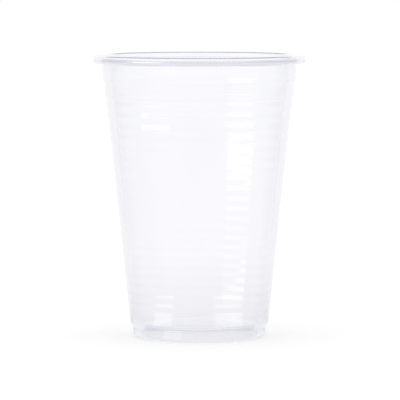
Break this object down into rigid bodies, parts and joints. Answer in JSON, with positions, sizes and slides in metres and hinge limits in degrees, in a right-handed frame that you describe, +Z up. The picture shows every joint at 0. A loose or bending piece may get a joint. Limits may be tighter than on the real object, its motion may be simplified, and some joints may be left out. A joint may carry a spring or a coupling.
{
  "type": "disposable cup",
  "caption": "Thin clear plastic drinking cup with a tapered, finely ribbed wall, a rolled rim, a stacking step and a raised base.",
  "frame": {"origin": "centre of the ring that the cup stands on", "axes": "+Z up along the cup's axis, from the foot to the mouth; X and Y are alike, because the cup is round"},
  "size_m": [0.0702, 0.0702, 0.094],
  "materials": {
    "clear_plastic": "clear, glossy, slightly wavy sheet"
  },
  "bodies": {
    "root": {"cup": "clear_plastic"}
  },
  "joints": []
}
